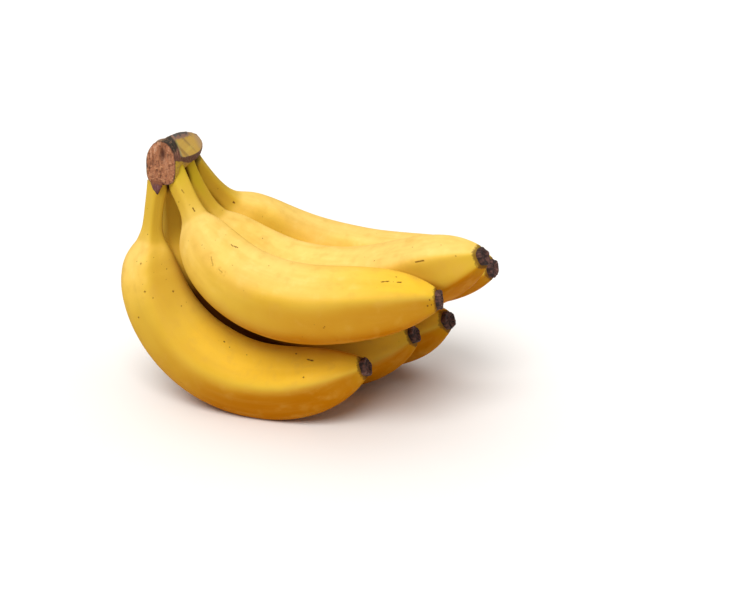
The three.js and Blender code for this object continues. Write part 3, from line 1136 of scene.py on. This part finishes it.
    def dress(self, points: np.ndarray, cut_depth: np.ndarray, trim_depth: np.ndarray,
              s: np.ndarray, c: np.ndarray) -> Skin:
        """Raises fibres, sinks the hollow and lays the tints over the plain crown.

        Args:
            points: The plain crown's rings.
            cut_depth: How deep under the cut plane each point was before it was pushed there.
            trim_depth: The same for the trim plane.
            s: Sine of each side's angle.
            c: Cosine of each side's angle.

        Returns:
            The finished skin, with its tint and how fresh it is at each point.
        """
        grain, second = Grain(self.seed), Grain(self.seed + 1)
        cut = unit(np.array(self.cut_normal))
        right = unit(np.cross(UP, cut))
        above = np.cross(cut, right)
        a, b = (points - self.cut_point) @ right, (points - self.cut_point) @ above
        rim = self.rim_distance(points, cut_depth)
        face, facet = ramp(self.face_span, rim), ramp(self.facet_span, trim_depth)
        flat = np.stack([a, b, np.zeros_like(a)], axis=-1)
        strands = grain.layered(flat, self.strand_pitch, 3)
        crumbs = second.layered(flat, self.crumb_pitch, 3)
        crumbly = ramp(self.crumbly_span, b + 2 * grain.at(flat, 3))
        hole = np.exp(-((a - self.hollow[0]) / self.hollow_size[0]) ** 2
                      - ((b - self.hollow[1]) / self.hollow_size[1]) ** 2)
        face_height = self.strand_height * strands + self.crumb_height * crumbs * (0.35 + 0.65 * crumbly)
        face_height = (face_height - self.hollow[2] * hole - self.face_sunk) * ramp(self.rim_span, rim)
        dry = grain.layered(points, self.dry_pitch, 3)
        wrinkle = second.layered(points, self.wrinkle_pitch, 2)
        skin_height = self.dry_height * dry + self.wrinkle_height * wrinkle
        scraped = np.stack([points[..., 1] + 0.8 * points[..., 2], points[..., 0], 0 * a], -1)
        scrape = second.layered(scraped, self.scrape_pitch, 1)
        lip = ramp(self.lip_span, s + 0.14 * dry) * ramp(self.lip_reach, points[..., 1])
        facet_height = self.scrape_height * scrape - self.facet_sunk + (self.lip_height + 0.3 * dry) * lip
        height = (skin_height * (1 - facet) + facet_height * facet) * (1 - face) + face_height * face
        rings = points + outward(points) * height[..., None]
        grains = {"strands": strands, "crumbs": crumbs, "crumbly": crumbly, "hole": hole, "dry": dry,
                  "scrape": scrape}
        tint = self.tints(points, face, facet, rim, grains, s, c)
        return Skin(rings, {"tint": tint, "fresh": facet * (1 - face)})

    def tints(self, points: np.ndarray, face: np.ndarray, facet: np.ndarray, rim: np.ndarray,
              grains: dict[str, np.ndarray], s: np.ndarray, c: np.ndarray) -> np.ndarray:
        """Lays the crown's colours over each other: peel, dry band, top ridge, facet, dark strip, cut face.

        Args:
            points: The plain crown's rings.
            face: Where the cut face is.
            facet: Where the trimmed facet is.
            rim: Distance from the cut face's rim.
            grains: The random values that raised the relief.
            s: Sine of each side's angle.
            c: Cosine of each side's angle.

        Returns:
            A colour at each point.
        """
        tones = self.tones
        y, z = points[..., 1], points[..., 2]
        dry, strands, crumbs, crumbly = (grains[key] for key in ("dry", "strands", "crumbs", "crumbly"))
        right_side = ramp(self.side_span, c)
        low = ramp(self.low_span, s + 0.2 * dry)
        frayed = s + 0.25 * dry
        high = ramp(tones.top.span, frayed)
        colour = np.broadcast_to(tones.peel, points.shape)
        colour = tones.dry_peel.lay(colour, dry)
        colour = tones.top.lay(colour, frayed)
        colour = tones.top_grey.lay(colour, dry, high)
        above_foot = z - self.band_foot(y) + 0.4 * dry
        band = right_side * ramp(tones.band.span, above_foot)
        colour = tones.band.lay(colour, above_foot, right_side * (1 - high))
        colour = tones.band_worn.lay(colour, dry, band * (1 - low))
        ochre = np.broadcast_to(tones.ochre, points.shape)
        ochre = tones.ochre_streak.lay(ochre, grains["scrape"])
        ochre = tones.ochre_pale.lay(ochre, crumbs)
        ochre = tones.ochre_front.lay(ochre, y)
        edge, edge_reach = s + 0.14 * dry, ramp(self.ridge_reach, y)
        ochre = tones.ridge.lay(ochre, edge, edge_reach)
        ochre = tones.ridge_grey.lay(ochre, frayed, ramp(tones.ridge.span, edge) * edge_reach)
        ochre = tones.ochre_back.lay(ochre, y)
        colour = over(colour, ochre, facet)
        front_strip = ramp(self.strip_span, y) * right_side * (1 - facet)
        colour = tones.strip.lay(colour, s, front_strip)
        brown = np.broadcast_to(tones.brown, points.shape)
        brown = tones.strand_dark.lay(brown, strands)
        brown = tones.crumb_pale.lay(brown, crumbs, 0.35 + 0.65 * crumbly)
        brown = tones.strand_pale.lay(brown, strands, 1 - crumbly)
        brown = over(brown, tones.hollow, np.clip(grains["hole"] * 1.1, 0, 1))
        brown = tones.crumb_dark.lay(brown, crumbs)
        brown = tones.rim.lay(brown, rim + 0.5 * dry)
        return over(colour, brown, face)

    def tongue(self) -> Skin:
        """A flat spike that hangs from the cut face's foot: an ellipse whose width falls to a point.

        Returns:
            The tongue's skin with its tints.
        """
        path = np.linspace(0, 1, self.tongue_rings)[:, None]
        angle = np.arange(self.tongue_sides) * 2 * math.pi / self.tongue_sides
        width = self.tongue_width[0] * (1 - path**1.1) + self.tongue_width[1]
        thick = self.tongue_thick[0] * (1 - path**1.6) + self.tongue_thick[1]
        middle = np.array(self.tongue_root) + np.array(self.tongue_hang) * path[..., None]
        across = np.stack([width * np.cos(angle), thick * np.sin(angle), width * 0 * angle], axis=-1)
        points = middle + across
        relief = Grain(self.seed + 2).layered(points, self.tongue_pitch, 3)
        points = points + outward(points) * (self.tongue_rough * relief * (1 - path**4))[..., None]
        frayed = path + 0.2 * relief
        tint = np.broadcast_to(self.tones.tongue, points.shape)
        tint = self.tones.tongue_pale.lay(tint, relief)
        tint = self.tones.tongue_tip.lay(tint, frayed)
        tint = self.tones.tongue_root.lay(tint, frayed)
        return Skin(points, {"tint": tint, "fresh": 0 * relief})

    def build(self, finish: bpy.types.Material) -> None:
        """Makes the crown with its tongue and puts it in the place of its node."""
        carry(build_piece("crown_stalk", [self.body(), self.tongue()], finish), "crown")


@dataclass
class Bunch:
    """All six bananas with their flower ends."""

    bananas: list[Banana]
    flower_end: FlowerEnd = field(default_factory=FlowerEnd)
    stub_stretch: dict[str, Span] = field(default_factory=lambda: {"high_middle": (0.85, 1)})

    def build(self, camera: PhotoCamera) -> None:
        """Makes each banana's skin and its flower end, and puts them in the places of their nodes.

        Args:
            camera: The photograph's camera, for the blemishes.
        """
        lines = {banana.name: banana.centre_line() for banana in self.bananas}
        peel = PeelFinish().material()
        husk = FlowerFinish().material()
        for banana in self.bananas:
            skin = banana.skin(lines, camera)
            carry(build_piece(f"peel_{banana.name}", [skin], peel), f"banana_{banana.name}")
            stretch = self.stub_stretch.get(banana.name, (1, 1))
            end = self.flower_end.skin(lines[banana.name], stretch, banana.seed)
            carry(build_piece(f"flower_end_{banana.name}", [end], husk), f"tip_{banana.name}")


@dataclass(frozen=True)
class SoftSun:
    """Even light from a wide patch of one side.

    Attributes:
        name: Its name.
        towards: The direction in which it lies.
        width: How wide it looks, in degrees.
        power: Its power, in watts for each square metre.
    """

    name: str
    towards: Vector3
    width: float
    power: float

    def build(self) -> None:
        """Adds the light, turned so that it shines from its direction."""
        data = bpy.data.lights.new(self.name, "SUN")
        data.angle = math.radians(self.width)
        data.energy = self.power
        back = unit(np.array(self.towards))
        right = unit(np.cross(UP, back))
        add_object(self.name, data).matrix_world = facing_matrix(right, np.cross(back, right), back)


@dataclass
class Studio:
    """A plain white floor under soft light from above."""

    floor_half: float = 4
    floor_tint: Vector3 = (0.94, 0.915, 0.88)
    floor_rough: float = 0.9
    grit_scale: float = 300
    grit_height: float = 0.0001
    grit_strength: float = 0.1
    sky: float = 0.22
    suns: tuple[SoftSun, ...] = (
        SoftSun("key", (0.1, -0.6, 0.77), 36, 2.15),
        SoftSun("top", (-0.1, 0.1, 1), 90, 1.45),
    )

    def build(self) -> None:
        """Lays the floor, lights the scene and shows plain white past the floor."""
        half = self.floor_half
        mesh = bpy.data.meshes.new("floor")
        corners = [(-half, -half, 0), (half, -half, 0), (half, half, 0), (-half, half, 0)]
        mesh.from_pydata(corners, [], [(0, 1, 2, 3)])
        graph = Graph("floor_paper")
        grit = graph.noise(graph.place(), self.grit_scale, 2)
        normal = graph.bump(grit, self.grit_height, self.grit_strength)
        mesh.materials.append(graph.finish(np.array(self.floor_tint), self.floor_rough, normal, {}))
        floor = add_object("floor", mesh)
        for sun in self.suns:
            sun.build()
        world = bpy.data.worlds.new("white_room")
        world.use_nodes = True
        world.node_tree.nodes["Background"].inputs["Color"].default_value = (1, 1, 1, 1)
        world.node_tree.nodes["Background"].inputs["Strength"].default_value = self.sky
        bpy.context.scene.world = world
        bpy.context.scene.view_settings.view_transform = "Standard"


def six_bananas() -> list[Banana]:
    """The six bananas, with the frame's driving dimensions and the photograph's blemishes."""
    speck, faint, spot, scratch, smudge = Mark
    low_front_marks = [
        (spot, (140.7, 263.7)), (speck, (136.7, 261.3)), (speck, (153.8, 257.4)), (faint, (147.1, 261.3)),
        (faint, (168.8, 259.7)), (speck, (167.1, 269.3)), (faint, (162, 264)), (faint, (142.7, 284.2)),
        (spot, (144.7, 292.2)), (speck, (153.4, 297.9)), (spot, (172.9, 291.8)), (faint, (165.9, 279.8)),
        (speck, (181.6, 306.2)), (faint, (186.2, 302.5)), (spot, (138.5, 317.5)), (faint, (153.8, 272.4)),
        (faint, (147.4, 208.1)), (spot, (224, 342)), (speck, (230, 347)), (speck, (247, 355)),
        (spot, (296, 354)), (spot, (304, 377)), (scratch, (307, 359), (313, 361)), (smudge, (143.4, 301.2)),
    ]
    high_front_marks = [
        (speck, (178.5, 201.8)), (faint, (181.6, 189.4), (184.2, 193.4)), (faint, (189.6, 204.5)),
        (speck, (192.7, 208.1), (195, 211.5)), (scratch, (231.1, 244.7), (233.2, 245.9)),
        (scratch, (234.2, 246.4), (237.8, 248.3)), (speck, (201.6, 245.2)), (faint, (204.3, 248.3)),
        (faint, (215.7, 240.3)), (faint, (226, 234.9)), (faint, (232.2, 265.7)),
        (smudge, (210.4, 256), (212.5, 264.5)), (faint, (211, 257), (213.4, 265.5)),
        (smudge, (218, 269), (223.7, 273)), (faint, (219, 269.2), (222.5, 272.5)), (faint, (243.8, 290.9)),
        (speck, (268.9, 265.3)), (scratch, (381, 281.8), (389, 281.6)), (speck, (393, 281.8)),
        (scratch, (397, 282), (401, 282.4)), (faint, (314, 325)), (speck, (325, 327)), (faint, (302, 337)),
        (faint, (337, 340)), (spot, (430, 300)), (speck, (431, 305)), (spot, (428, 306)),
    ]
    high_middle_marks = [
        (speck, (262.6, 237.9)), (faint, (222.4, 210.5)), (speck, (441, 245)), (spot, (422, 261)),
        (scratch, (416, 262), (424, 260.5)), (faint, (365, 257)), (speck, (456, 256)),
    ]
    high_back_marks = [
        (spot, (233.1, 201.8)), (speck, (234.8, 203.2)), (faint, (262.6, 216.6)), (faint, (217.7, 188.7)),
    ]

    def marks(listed: list[tuple]) -> list[Blemish]:
        """Blemishes from their short form."""
        return [Blemish(*entry) for entry in listed]

    fine = {"stations": 400, "sides": 200}
    # bananas mostly out of sight: no painted highlight, and painted shade beside their neighbours even where
    # they face up
    hidden = {"painted_highlight_span": (-60, 10), "open_sky": 0}
    return [
        Banana("low_front", (-75.8, -27.4, 110.7), heading=16.5, sweep=-15, lean=8, slope=(-100, 23.5),
               bend=(-4, 175.5), length=178.5, neck=29.5, neck_radius=4.4, drop=3, roll=69,
               seed=1, painted_highlight_span=(45, 85), open_sky=0, blemishes=marks(low_front_marks), **fine),
        Banana("low_middle", (-75.3, -15, 107.3), heading=10, sweep=-2, lean=-7.5, slope=(-100.5, 28.5),
               bend=(-21.5, 198), length=189.5, neck=31, neck_radius=5.2, drop=-2.5, roll=80,
               seed=2, tucked_behind="low_front", **hidden),
        Banana("low_back", (-78.8, -1.4, 106.5), heading=5.5, sweep=-5, lean=-24.5, slope=(-92, 30),
               bend=(-14.5, 206.5), length=197, neck=37, neck_radius=4.9, drop=3.5, roll=50,
               seed=3, **hidden),
        Banana("high_front", (-74.3, -19.6, 120.5), heading=7.5, sweep=2.5, lean=31.5, slope=(-55.5, 9.5),
               bend=(23, 135), length=170.5, neck=36, neck_radius=5.1, drop=2.2, roll=74,
               seed=4, green=0.5, painted_highlight_span=(90, 165), blemishes=marks(high_front_marks), **fine),
        Banana("high_middle", (-73.1, -7.9, 114.5), heading=5.5, sweep=-12, lean=-5.5, slope=(-69, 25.5),
               bend=(-15.5, 153), length=190.5, neck=33.5, neck_radius=4.9, drop=2, roll=29,
               seed=5, green=0.5, stations=320, sides=160, blemishes=marks(high_middle_marks)),
        Banana("high_back", (-73.9, 3.7, 111.4), heading=8, sweep=-6.5, lean=-27.5, slope=(-64.5, 13),
               bend=(-2.5, 154.5), length=183, neck=31.5, neck_radius=4.8, drop=-2, roll=60,
               seed=6, green=0.12, stations=280, sides=140, blemishes=marks(high_back_marks)),
    ]


def main() -> None:
    """Builds the bunch, its crown and the studio."""
    logging.basicConfig(level=logging.INFO, format="%(name)s: %(message)s")
    camera = PhotoCamera()
    camera.place()
    Studio().build()
    Crown().build(StalkFinish().material())
    Bunch(six_bananas()).build(camera)


if __name__ == "__main__":
    main()
